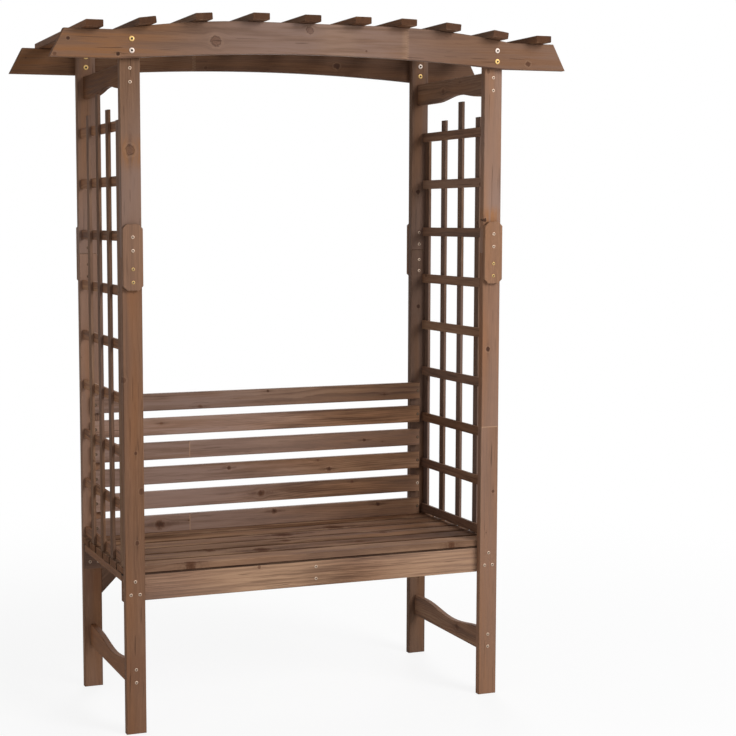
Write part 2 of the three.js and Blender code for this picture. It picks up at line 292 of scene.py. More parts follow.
def stained_wood(
        name, axes, middle, seed, tone=1.0, warmth=0.0, patch=0.5, grey=0.4, contrast=1.0, edge_shade_and_stain=0.0,
        streaks=72.0, knot_streaks=0.35, knot_blur=0.0, gloss=0.16, knots=(), joints=(), tints=(),
        seam_at=None, row=None):
    """Softwood under a thin brown stain, for one board.

    The axes run along the board, across it and through it, and the middle is the board's own.
    Tone and warmth change all its colours. Patch, grey and contrast say how much of it glows, how much is
    greyish and how strongly the grain shows, streaks how fine the grain is, and gloss how much it shines.
    Dark edges lie on its sides: painted shade for the gaps between boards, and the darker stain of the edges.
    A knot is given by its place along and across the board, its radius and how dark its middle is. Knot
    streaks and knot blur say how dark the grain is beside the knots, and how soft their outlines are.
    A joint is a place along the board where two lengths are finger jointed, and where its fingers show.
    A tint is a place along the board, a reach, a share and the colour that the stain takes there.
    A painted shadow line, for the shade in the gap beside a neighbouring part, runs along the board where its
    setting says: the place across it or through it, and the reach.
    A row says how like laths that share the material follow each other: an axis, a start and a pitch.
    """
    look = bpy.context.scene.arbour_wood
    f = Finish(name)

    def dye(grain, part=1.0, warming=0.0):
        """One of the stain's colours at a part of this board's tone."""
        return toned(getattr(look, grain), tone * part, warming)

    finger_pitch, finger_length = 0.0024, 0.011
    next_length, next_lath = 2.9, 1.73
    cell, cell_across = look.knot_spacing, 0.07
    along, across, through = [f.along(f.place, axis) - axis.dot(middle) for axis in axes]
    end, side, flat = [abs(f.along(f.facing, axis)) for axis in axes]
    own_tone = 0.0
    if row:
        number = ((f.along(f.place, row[0]) - row[1]) / row[2]).whole()
        along = along + number * next_lath
        across = across - number * row[2]
        chosen = f.add("ShaderNodeTexWhiteNoise", {"noise_dimensions": "1D"}, {"W": number + seed})
        own_tone = (chosen - 0.5) * 0.2

    # Beyond a finger joint the grain belongs to another length of wood
    seams = []
    for place, fingers in joints:
        side_on = through if fingers == "edge" else across
        reach = side_on.swing(finger_pitch) * (finger_length / finger_pitch)
        beyond = along - (place - axes[0].dot(middle)) - reach
        seams.append(abs(beyond).step(0.0016, 0.0005))
        along = along + (beyond > 0.0) * next_length

    # Small knots scattered along every board, and the larger ones in their places
    cell_place = along / cell + seed * 1.7
    cell_height = across / cell_across + seed
    scatter = f.add(
        "ShaderNodeTexVoronoi", {"voronoi_dimensions": "2D"},
        {"Vector": f.point(cell_place, cell_height, 0.0), "Scale": 1.0, "Randomness": 0.9}, "Position")
    centre = f.add("ShaderNodeSeparateXYZ", None, {0: scatter})
    chance = f.add("ShaderNodeSeparateXYZ", None, {0: scatter.out("Color")})
    wobble = (f.noise(f.place, (120, 120, 120), (seed, 0, 0), 4.0, 0.7) - 0.5) * 1.6
    found = [(
        (cell_place - centre) * cell, (cell_height - centre.out("Y")) * cell_across,
        (chance - 0.5).largest(0.0) * 0.013, 0.7, 0.5)]
    for place, height, radius, darkness in knots:
        off_along = f.along(f.place, axes[0]) - place
        off_across = f.along(f.place, axes[1]) - height
        found.append((off_along, off_across, radius, 1.0, darkness))

    bent = across
    hearts, rims, eyes, tails, rings = [], [], [], [], []
    for off_along, off_across, radius, depth, darkness in found:
        size = radius + 0.0004
        distance = f.length(off_along / 1.12, off_across)
        smooth_nearness = distance / size
        nearness = smooth_nearness + wobble
        fullness = depth * min(1.0, 0.35 + 1.3 * darkness)
        eye_reach = (0.2 + 0.65 * darkness) * (1 - knot_blur)
        hearts.append(nearness.step(1.08 + 0.3 * knot_blur, 0.80 - 0.4 * knot_blur) * fullness)
        halo = smooth_nearness.step(3.1, 0.9) * depth
        rims.append(abs(nearness - 0.96).step(0.26, 0.02) * depth)
        rims.append(abs(nearness - 0.50).step(0.16, 0.02) * (depth * 0.4))
        eyes.append(nearness.step(1.04 + 0.2 * knot_blur, eye_reach) * (depth * darkness))
        rings.append(abs(nearness - 1.42).step(0.30, 0.05) * depth)
        drawn_out = f.length(off_along / 6.5, off_across * 1.3) / size
        tails.append((drawn_out + wobble * 0.6).step(1.1, 0.2) * depth)
        bent = bent - off_across * halo * 0.6
    heart, rim, eye, tail, knot_ring = [
        functools.reduce(Value.largest, values) for values in (hearts, rims, eyes, tails, rings)]

    grain = f.point(along, bent, through)
    broad = f.noise(grain, (1.3, 11, 11), (seed, seed * 2.1, 3.0))
    streak = f.noise(grain, (4.0, streaks, streaks), (seed * 3.3, 1.0, seed), 4.0, 0.62)
    fibre = f.noise(grain, (24, 760, 760), (seed, 5.0, 2.0), 2.0, 0.7)
    glowing = f.noise(grain, (1.9, 19, 19), (7.0, seed * 1.3, seed), 1.0)

    # Growth rings round a pith that lies outside the board and wanders along it
    pith_across = 0.05 * math.sin(seed * 5.1)
    pith_through = 0.034 + 0.012 * math.cos(seed * 3.7)
    wander = f.noise(grain, (1.6, 6, 6), (2.0, seed, seed * 1.9))
    from_pith = f.length(bent - pith_across + (wander - 0.5) * 0.085, through - pith_through)
    ring = (from_pith / look.ring_spacing + streak * 1.1).remainder()
    late = ring ** 3.0 * ring.step(1.0, 0.9)

    tone_here = (
        0.5 + own_tone + (streak - 0.5) * (0.95 * contrast) + (broad - 0.5) * (0.7 * min(contrast, 1.1))
        - (late - 0.22) * (0.26 * contrast) + (fibre - 0.5) * 0.3)
    f.colour = f.add("ShaderNodeValToRGB", {"stops": [
        (0.16, dye("dark_grain", 1.0, warmth)), (0.36, dye("middle_grain", 0.62, warmth)),
        (0.54, dye("middle_grain", 1.0, warmth)), (0.84, dye("pale_grain", 1.0, warmth)),
    ]}, {"Fac": tone_here})
    bloom = f.noise(grain, (1.1, 5, 5), (seed, 4.0, seed * 2.7), 1.0)
    f.glaze(bloom.step(0.30, 0.68) * grey, dye("grey_bloom"))
    f.glaze(glowing.step(0.50, 0.74) * patch, dye("warm_patch", 1.0, warmth))
    for place, reach, share, tint in tints:
        near = abs(f.along(f.place, axes[0]) - place).step(reach, reach * 0.2)
        f.glaze(near * (streak.step(0.36, 0.64) * 0.7 + 0.3) * share, dye(tint, 1.0, warmth))

    # Knots: dark streaks and a pale broken ring round a reddish body with dark rings and a dark eye
    f.glaze(tail * knot_streaks, dye("knot_rim", 1.5))
    f.glaze(knot_ring * (0.20 * (1 - knot_blur)), dye("pale_grain", 1.05))
    f.glaze(heart * 0.62, dye("knot_heart"))
    f.glaze(eye * 0.92, dye("knot_rim"))
    f.glaze(rim * (0.55 * (1 - knot_blur)), dye("knot_rim"))

    # Short dry splits that follow the grain
    split = f.noise(grain, (9, 330, 330), (seed * 4.0, 2.0, 9.0), 0.0).step(0.775, 0.81)
    f.glaze(split * 0.55, dye("dark_grain", 0.5))

    # Sawn ends drink more stain, and handled edges are rubbed paler in places
    sawn = end.step(0.75, 0.93)
    corner = end.largest(side).largest(flat).step(0.93, 0.84)
    pale_here = streak.step(0.42, 0.62)
    f.glaze(sawn * 0.72, dye("dark_grain", 1.25, 0.10))
    # Painted shade on the sides, where the gaps between boards lie in shade, together with the sides' darker
    # stain
    if edge_shade_and_stain:
        f.glaze(side.step(0.55, 0.8) * edge_shade_and_stain, dye("dark_grain", 0.55))
    # Painted shadow: a dark line where the gap beside a neighbouring part lies in shade
    if seam_at:
        axis, place, reach = seam_at
        near = abs(f.along(f.place, axis) - place).step(reach, reach * 0.75)
        f.glaze(near, toned(look.knot_rim, 0.4))
    f.glaze(corner * pale_here * 0.42, dye("pale_grain"))
    f.glaze(corner * (1.0 - pale_here) * 0.4, dye("dark_grain"))

    rough = 0.74 + (streak - 0.5) * 0.30 + sawn * 0.16 + heart * 0.06
    height = fibre * 0.34 + late * 0.30 + streak * 0.36 - split * 1.1 + rim * 0.25
    if seams:
        seam = functools.reduce(Value.largest, seams)
        f.glaze(seam * 0.85, dye("pale_grain", 1.2))
        height = height - seam * 0.6
    f.raise_grain(height, look.relief)
    return f.done(Roughness=rough, Specular_IOR_Level=gloss)


def plated_steel(name, plating, seed):
    """Zinc plated steel, a little dulled and finely scratched."""
    f = Finish(name, plating)
    cloud = f.noise(f.place, (420, 420, 420), (seed, 2.0, 0.0), 3.0)
    scratch = f.noise(f.place, (2600, 700, 2600), (0.0, seed, 4.0), 2.0, 0.7)
    f.glaze(cloud.step(0.42, 0.72) * 0.55, toned(plating, 0.55, 0.08))
    f.glaze(scratch.step(0.6, 0.75) * 0.25, toned(plating, 1.15))
    f.raise_grain(scratch * 0.5 + cloud, 0.00008, 0.5)
    return f.done(Roughness=0.42 + cloud * 0.24 + scratch * 0.10, Metallic=1.0)


def recess_painted_shade(name, tone):
    """Painted shade: the dark inside of a driver's recess, coloured for the shade that falls in it."""
    f = Finish(name, toned((0.020, 0.014, 0.010), tone))
    cloud = f.noise(f.place, (900, 900, 900), (1.0, 2.0, 3.0))
    f.glaze(cloud, toned((0.075, 0.052, 0.034), tone))
    f.raise_grain(cloud, 0.00006, 0.5)
    return f.done(Roughness=0.55 + cloud * 0.3, Metallic=0.4)


# How the grain lies in a board: along it, across it and through it

STANDING = (ALONG_Z, ALONG_X, ALONG_Y)
LEVEL = (ALONG_X, ALONG_Z, ALONG_Y)
LYING = (ALONG_X, ALONG_Y, ALONG_Z)
DEEP = (ALONG_Y, ALONG_Z, ALONG_X)
DEEP_FLAT = (ALONG_Y, ALONG_X, ALONG_Z)


def middle_of(node):
    low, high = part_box(node)
    return (low + high) / 2


def seed_of(name):
    """A number of its own for each board, the same at every run."""
    return 1.0 + sum((place + 3) * ord(letter) for place, letter in enumerate(name)) % 97 * 0.37


def stain(node, axes, **finish):
    """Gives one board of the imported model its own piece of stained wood."""
    wood = stained_wood(f"wood_{node}", axes, middle_of(node), seed_of(node), **finish)
    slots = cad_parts[node].data.materials
    slots.clear()
    slots.append(wood)


# Helpers for modelling

def only(piece):
    """Selects one piece alone and makes it the active one."""
    bpy.ops.object.select_all(action="DESELECT")
    piece.select_set(True)
    bpy.context.view_layer.objects.active = piece


def new_object(add, name, **settings):
    """Runs an operator that adds an object, with nothing else selected, and names the object."""
    bpy.ops.object.select_all(action="DESELECT")
    add(**settings)
    bpy.context.active_object.name = name
    return bpy.context.active_object


def edit(piece):
    only(piece)
    bpy.ops.object.mode_set(mode="EDIT")
    bpy.ops.mesh.select_all(action="SELECT")


def place_in_mesh():
    """Puts the place, turn and scale of what is selected into its mesh."""
    bpy.ops.object.transform_apply(location=True, rotation=True, scale=True)


def leave_edit(piece):
    bpy.ops.object.mode_set(mode="OBJECT")
    place_in_mesh()
    return piece


def apply_change(piece, kind, **settings):
    """Adds a modifier and applies it at once."""
    only(piece)
    change = piece.modifiers.new(kind.lower(), kind)
    for setting, value in settings.items():
        setattr(change, setting, value)
    bpy.ops.object.modifier_apply(modifier=change.name)


def turned(name, sides, outline):
    """A round piece about the upright axis: a disc is pulled up and scaled, ring by ring."""
    radius, height = outline[0]
    piece = new_object(
        bpy.ops.mesh.primitive_circle_add, name, vertices=sides, radius=radius, fill_type="NGON",
        location=(0, 0, height))
    edit(piece)
    for (last_radius, last_height), (radius, height) in zip(outline, outline[1:]):
        bpy.ops.mesh.extrude_region_move(TRANSFORM_OT_translate={"value": (0, 0, height - last_height)})
        share = radius / last_radius
        bpy.ops.transform.resize(value=(share, share, 1), center_override=(0, 0, height))
    bpy.ops.mesh.select_all(action="SELECT")
    bpy.ops.mesh.normals_make_consistent(inside=False)
    return leave_edit(piece)


def cut_away(piece, cutter):
    apply_change(
        piece, "BOOLEAN", operation="DIFFERENCE", object=cutter, solver="EXACT", material_mode="TRANSFER")
    bpy.data.objects.remove(cutter)


def coat(piece, material):
    piece.data.materials.clear()
    piece.data.materials.append(material)
    return piece


def copy_at(model, place):
    piece = model.copy()
    piece.data = model.data.copy()
    bpy.context.scene.collection.objects.link(piece)
    piece.matrix_world = place
    return piece


def joined(pieces):
    """All the pieces as one mesh, which the first of them carries."""
    only(pieces[0])
    for piece in pieces[1:]:
        piece.select_set(True)
    if len(pieces) > 1:
        bpy.ops.object.join()
    return pieces[0]


def settle(pieces, name):
    """Joins copies into one piece, puts its place into its mesh, and lets it ride on the arbour."""
    piece = joined(pieces)
    place_in_mesh()
    piece.name = name
    piece.data.name = name
    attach(piece, "root")
    return piece


def forget(*models):
    for model in models:
        bpy.data.objects.remove(model)


def looking(point, direction, turn=0.0):
    """Where a piece modelled upright goes, to look in a direction from a point."""
    way = Vector(direction).to_track_quat("Z", "Y").to_matrix().to_4x4()
    return Matrix.Translation(Vector(point)) @ way @ Matrix.Rotation(turn, 4, "Z")


def recess_arm(width, length, depth, top, turn, grime):
    """One arm of a crossed recess, narrower at the bottom. Its faces give the recess its painted shade."""
    arm = new_object(
        bpy.ops.mesh.primitive_cube_add, "arm", size=1, location=(0, 0, top), rotation=(0, 0, turn))
    arm.scale = (length, width, 2 * depth)
    place_in_mesh()
    edit(arm)
    mesh = bmesh.from_edit_mesh(arm.data)
    for face in mesh.faces:
        face.select_set(False)
    for face in mesh.faces:
        if face.normal.z < -0.9:
            face.select_set(True)
    bmesh.update_edit_mesh(arm.data)
    bpy.ops.transform.resize(value=(0.7, 0.7, 1), center_override=(0, 0, 0))
    return coat(leave_edit(arm), grime)


def screw_model(metal, grime):
    """A domed head round a dish with a crossed recess, both painted dark as shade, its underside on the
    board.
    """
    look = bpy.context.scene.arbour_fixings
    radius = look.screw_head / 2
    rise = look.screw_rise
    dish = radius * 0.56
    head = coat(turned("screw", 20, [
        (radius * 0.97, 0), (radius, rise * 0.25), (radius * 0.97, rise * 0.6), (radius * 0.86, rise * 0.88),
        (radius * 0.72, rise), (radius * 0.60, rise)]), metal)
    hollow = turned("dish", 16, [(dish * 0.6, rise * 0.66), (dish, rise * 0.95), (dish, rise * 2)])
    cut_away(head, coat(hollow, grime))
    for turn in (0, math.pi / 2):
        cut_away(head, recess_arm(radius * 0.24, radius * 0.86, rise * 0.78, rise, turn, grime))
    return head


def nail_model(metal):
    """A small flat head, slightly domed."""
    radius = bpy.context.scene.arbour_fixings.nail_head / 2
    return coat(turned("nail", 10, [
        (radius, 0), (radius, radius * 0.18), (radius * 0.8, radius * 0.34),
        (radius * 0.3, radius * 0.40)]), metal)


def roof_nail_model(metal):
    """A flat head that is driven flush with the slat, so that only its face shows."""
    radius = bpy.context.scene.arbour_fixings.roof_nail_head / 2
    return coat(turned("roof_nail", 16, [
        (radius * 0.8, -0.0012), (radius, -0.0002), (radius, 0.00002), (radius * 0.93, 0.00005)]), metal)


def bolt_model(metal, grime, stack):
    """A flanged head with a six-sided socket, a shank through the boards, and a washer and a nut behind."""
    look = bpy.context.scene.arbour_fixings
    shank = look.bolt_shank / 2
    radius = look.bolt_head / 2
    gap = 0.0003
    rise = 0.0024
    back = -stack - gap
    body = coat(turned("bolt", 32, [
        (shank * 0.8, back - 0.0085), (shank, back - 0.0078), (shank, gap), (radius * 0.97, gap),
        (radius, gap * 2), (radius, gap * 4), (radius * 0.96, rise * 0.72), (radius * 0.80, rise * 0.95),
        (radius * 0.56, rise + gap)]), metal)
    # The socket is painted dark as shade
    cut_away(body, coat(turned("socket", 6, [(0.0026, 0.0008), (0.0037, 0.0012), (0.0037, 0.0040)]), grime))
    rings = {
        "washer": (24, (0.0066, 0), (0.0070, 0.0003), (0.0070, 0.0009), (0.0066, 0.0012)),
        "nut": (6, (0.0050, 0.0014), (0.0058, 0.0019), (0.0058, 0.0056), (0.0050, 0.0062))}
    parts = [body]
    for name, (sides, *outline) in rings.items():
        ring = coat(turned(name, sides, [(reach, back - depth) for reach, depth in outline]), metal)
        bore = turned("bore", 24, [(shank + 0.0001, back - 0.01), (shank + 0.0001, back + 0.001)])
        cut_away(ring, coat(bore, metal))
        parts.append(ring)
    return joined(parts)


def kept(name, make, *details):
    """A material by its name, made when it is first asked for."""
    return bpy.data.materials.get(name) or make(name, *details)


class Fixings:
    """One kind of fixing, modelled once in each plating and thrown away at the end."""

    def __init__(self, kind, stack=0.0):
        look = bpy.context.scene.arbour_fixings
        # Painted shade for the recesses, lighter for the dull screws
        finish, share, warmth, shade_tone = (
            ("bright", 1.0, 0.0, 1.0) if kind == "bolt" else ("dull", 1.0 - look.screw_dullness, 0.12, 3.2))
        grime = kept(f"recess_grime_{finish}", recess_painted_shade, shade_tone)
        make = {
            "screw": lambda metal: screw_model(metal, grime),
            "bolt": lambda metal: bolt_model(metal, grime, stack),
            "nail": nail_model, "roof_nail": roof_nail_model}[kind]
        platings = {
            "yellow": toned(look.yellow_plating, share), "white": toned(look.white_plating, share, warmth),
            "stained": tuple(look.stained_over)}
        self.models = {
            plating: make(kept(f"steel_{plating}_{finish}", plated_steel, colour, seed_of(plating)))
            for plating, colour in platings.items()}

    def put(self, name, places):
        """Makes one piece of all the fixings in a group. A place is a point, a direction and a plating."""
        turn_apart = 0.9
        copies = [
            copy_at(self.models[plating], looking(point, direction, turn_apart * number + len(name)))
            for number, (point, direction, plating) in enumerate(places)]
        return settle(copies, name)

    def end(self):
        forget(*self.models.values())


FRONT = (0, -1, 0)
BACK = (0, 1, 0)


# The steps, one for each piece or group of like pieces

class ARBOUR_OT_stain_posts(bpy.types.Operator):
    """Stains the eight lengths of the four posts"""
    bl_idname = "arbour.stain_posts"
    bl_label = "Stain the Posts"

    def execute(self, context):
        finishes = {
            "lower_front_left": dict(
                tone=0.87, warmth=0.09, grey=0.2, tints=((0.185, 0.075, 0.35, "knot_heart"),),
                knots=((0.5423, -0.5428, 0.0046, 0.45), (0.7945, -0.5447, 0.0034, 0.45))),
            "upper_front_left": dict(
                tone=0.94, patch=0.2, grey=0.9, tints=((1.6180, 0.060, 0.8, "warm_patch"),),
                knots=((1.6244, -0.5518, 0.0115, 0.1),)),
            "lower_front_right": dict(
                tone=1.10, warmth=0.06, grey=0.45, joints=((0.809, "edge"),),
                tints=((0.22, 0.50, 0.60, "middle_grain"),),
                knots=((1.0479, 0.5409, 0.0056, 0.9), (0.62, 0.563, 0.0035, 0.6))),
            "upper_front_right": dict(
                tone=1.13, grey=0.85, tints=((1.4359, 0.045, 1.0, "warm_patch"),),
                knots=((1.4300, 0.5262, 0.0045, 1.0),)),
            "lower_rear_left": dict(
                tone=1.04, warmth=0.03, grey=0.4, tints=((0.33, 0.06, 0.45, "knot_heart"),),
                knots=((0.64, -0.548, 0.007, 0.8),)),
            "upper_rear_left": dict(tone=0.92, grey=0.6),
            # The rear right posts are darkened as painted shade, for the shadow they stand in
            "lower_rear_right": dict(
                tone=0.62, grey=0.4, knots=((0.262, 0.553, 0.008, 0.9), (1.15, 0.548, 0.005, 0.8))),
            "upper_rear_right": dict(tone=0.68, grey=0.5, knots=((1.52, 0.545, 0.006, 0.7),)),
        }
        for place, finish in finishes.items():
            stain(f"post_{place}", STANDING, contrast=0.38, streaks=100.0, **finish)
        return {"FINISHED"}


class ARBOUR_OT_stain_plates(bpy.types.Operator):
    """Stains the splice plates, of which the front ones are paler than the posts"""
    bl_idname = "arbour.stain_plates"
    bl_label = "Stain the Splice Plates"

    def execute(self, context):
        tones = {"front_left": 1.08, "front_right": 1.24, "rear_left": 1.0, "rear_right": 1.0}
        for place, tone in tones.items():
            stain(
                f"splice_plate_{place}", STANDING, tone=tone, warmth=0.02, patch=0.25, grey=0.2, contrast=0.4)
        return {"FINISHED"}


class ARBOUR_OT_stain_beams(bpy.types.Operator):
    """Stains the two arched roof beams, which are finger jointed"""
    bl_idname = "arbour.stain_beams"
    bl_label = "Stain the Roof Beams"

    def execute(self, context):
        stain(
            "roof_beam_front", LEVEL, tone=0.90, patch=0.3, grey=0.5, contrast=0.6, knot_streaks=0.12,
            joints=((0.2565, "face"),),
            knots=(
                (-0.7241, 1.9154, 0.0036, 0.9), (-0.5881, 1.8776, 0.0042, 1.0),
                (-0.3117, 1.9205, 0.0120, 0.15), (-0.0358, 1.9590, 0.0085, 0.1),
                (0.6512, 1.8843, 0.0060, 0.5)),
            tints=(
                (-0.72, 0.42, 1.0, "warm_patch"), (0.0, 0.5, 0.8, "grey_bloom"),
                (0.05, 0.09, 0.35, "pale_grain"), (0.72, 0.45, 0.55, "warm_patch"),
                (0.62, 0.50, 0.30, "dark_grain"), (0.2565, 0.016, 0.45, "pale_grain")))
        stain(
            "roof_beam_rear", LEVEL, tone=0.70, warmth=0.05, grey=0.1, contrast=0.9,
            joints=((-0.21, "face"),), knots=((0.27, 1.916, 0.008, 0.8), (-0.43, 1.892, 0.010, 0.8)),
            tints=((-0.80, 0.35, 1.0, "warm_patch"), (0.25, 0.95, 0.75, "dark_grain")))
        return {"FINISHED"}


class ARBOUR_OT_stain_roof_slats(bpy.types.Operator):
    """Stains the ten slats of the roof"""
    bl_idname = "arbour.stain_roof_slats"
    bl_label = "Stain the Roof Slats"

    def execute(self, context):
        for number in range(1, 11):
            tone = 0.64 + 0.08 * math.sin(number * 2.3)
            warmth = 0.10 + 0.10 * math.sin(number * 1.3)
            stain(f"roof_slat_{number:02d}", DEEP_FLAT, tone=tone, warmth=warmth, grey=0.1)
        return {"FINISHED"}


class ARBOUR_OT_stain_side_boards(bpy.types.Operator):
    """Stains the braces under the roof and the stretchers near the ground"""
    bl_idname = "arbour.stain_side_boards"
    bl_label = "Stain the Side Boards"

    def execute(self, context):
        stain("side_brace_left", DEEP, tone=0.44, warmth=0.32, grey=0.0)
        stain(
            "side_brace_right", DEEP, tone=1.0, grey=0.5, knot_blur=0.6, knots=((0.052, 1.827, 0.008, 0.4),))
        stain("leg_stretcher_left", DEEP, tone=0.90, warmth=0.18, grey=0.0, contrast=0.5)
        stain(
            "leg_stretcher_right", DEEP, tone=0.98, grey=0.15, warmth=0.05, knot_blur=0.6,
            knots=((-0.0719, 0.1618, 0.009, 0.4),))
        return {"FINISHED"}


class ARBOUR_OT_stain_seat_frame(bpy.types.Operator):
    """Stains the apron, the rear rail and the bearers of the seat"""
    bl_idname = "arbour.stain_seat_frame"
    bl_label = "Stain the Seat Frame"

    def execute(self, context):
        stain(
            "seat_apron_front", LEVEL, tone=1.19, patch=0.35, grey=0.45, contrast=1.15, streaks=120.0,
            # Painted shadow along the apron's top, in the gap under the front seat slat
            seam_at=(ALONG_Z, 0.4497, 0.0034),
            # Pale tints: partly a paler stain, partly a painted highlight
            tints=((-0.15, 0.30, 1.0, "pale_grain"), (0.45, 0.35, 0.85, "pale_grain")))
        stain("seat_rail_rear", LEVEL, tone=0.8)
        stain("seat_bearer_left", DEEP_FLAT, tone=0.75, warmth=0.15, grey=0.0)
        stain("seat_bearer_right", DEEP_FLAT, tone=0.8)
        stain("seat_bearer_centre", DEEP, tone=0.8)
        return {"FINISHED"}


class ARBOUR_OT_stain_seat(bpy.types.Operator):
    """Stains the six slats of the seat"""
    bl_idname = "arbour.stain_seat"
    bl_label = "Stain the Seat Slats"

    def execute(self, context):
        knots = {
            1: ((-0.3811, -0.2270, 0.0125, 0.70), (0.4374, -0.2300, 0.008, 0.5)),
            2: (
                (-0.1314, -0.1330, 0.022, 0.7), (0.1875, -0.1229, 0.012, 0.6),
                (-0.2785, -0.0970, 0.012, 0.6)),
            3: ((-0.0205, -0.0370, 0.013, 0.6), (0.31, -0.022, 0.010, 0.5)),
            4: ((0.0044, 0.0500, 0.024, 0.7),),
            5: ((0.1948, 0.1050, 0.025, 0.7),),
        }
        # Paler places along the slats: partly a paler stain, partly a painted highlight where the front of
        # the seat catches the light
        pale_and_highlight_left = (-0.45, 0.55, 0.5, "pale_grain")
        pale_and_highlight_right = (0.30, 0.45, 0.70, "pale_grain")
        every = dict(grey=0.35, streaks=34.0, knot_streaks=0.75, knot_blur=0.35, gloss=0.02)
        # The front slat has a painted shadow along its underside, over the apron
        front = dict(
            contrast=1.2, edge_shade_and_stain=0.45, seam_at=(ALONG_Z, 0.45, 0.0034), tints=(pale_and_highlight_left, pale_and_highlight_right))
        behind = dict(contrast=1.5, edge_shade_and_stain=0.75, tints=(pale_and_highlight_left,))
        for number in range(1, 7):
            finish, tone = (front, 1.40) if number == 1 else (behind, 1.22 + 0.07 * math.sin(number * 1.9))
            stain(f"seat_slat_{number}", LYING, tone=tone, knots=knots.get(number, ()), **every, **finish)
        return {"FINISHED"}


class ARBOUR_OT_stain_back(bpy.types.Operator):
    """Stains the six slats of the backrest"""
    bl_idname = "arbour.stain_back"
    bl_label = "Stain the Back Slats"

    def execute(self, context):
        finishes = {
            1: dict(tone=0.88, knots=((0.0185, 0.8965, 0.0035, 0.8), (0.4202, 0.8692, 0.0035, 0.6))),
            2: dict(tone=1.18, knots=((-0.3325, 0.8107, 0.004, 0.2),)),
            3: dict(tone=1.02, joints=((-0.2428, "edge"),), knots=((0.3502, 0.7240, 0.0050, 0.9),)),
            4: dict(tone=1.08, knots=((-0.1122, 0.6597, 0.0055, 0.9), (0.2265, 0.6369, 0.0068, 0.8))),
            5: dict(tone=1.15, grey=0.75, knots=(
                (-0.0051, 0.5730, 0.0095, 0.8), (0.3071, 0.5920, 0.0045, 0.6))),
            6: dict(tone=1.02, joints=((-0.2440, "edge"),), knots=(
                (-0.3388, 0.4954, 0.0130, 0.8), (0.0396, 0.5122, 0.0078, 0.9),
                (0.3983, 0.5118, 0.0062, 0.9))),
        }
        tints = ((-0.45, 0.75, 0.9, "grey_bloom"), (0.50, 0.45, 0.4, "warm_patch"))
        for number, finish in finishes.items():
            stain(
                f"back_slat_{number}", LEVEL, contrast=1.3, patch=0.3, knot_streaks=0.6, knot_blur=0.6,
                streaks=60.0, tints=tints, **finish)
        return {"FINISHED"}


class ARBOUR_OT_stain_corner_braces(bpy.types.Operator):
    """Stains the slanting braces under the seat"""
    bl_idname = "arbour.stain_corner_braces"
    bl_label = "Stain the Corner Braces"

    def execute(self, context):
        for side, sign in SIDES:
            rising = Vector((-sign, 0, 1)).normalized()
            square = Vector((sign, 0, 1)).normalized()
            stain(f"corner_brace_{side}", (rising, square, ALONG_Y), tone=0.8)
        return {"FINISHED"}


def upright_places(side):
    """Where the middles of a panel's four uprights lie along Y, before the right panel is turned round."""
    look = bpy.context.scene.arbour_trellis
    low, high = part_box("trellis_left")
    first = low.y + look.lath_width / 2
    last = high.y - look.last_upright - look.lath_width / 2 + (look.right_spread if side == "right" else 0)
    return [first + number * (last - first) / 3 for number in range(4)]


def rail_places():
    """The distance from one rail to the next, and the heights of the rails' middles."""
    look = bpy.context.scene.arbour_trellis
    pitch = (look.highest_rail - look.lath_width - look.lowest_rail) / (look.rail_count - 1)
    lowest = look.lowest_rail + look.lath_width / 2
    return pitch, [lowest + number * pitch for number in range(look.rail_count)]


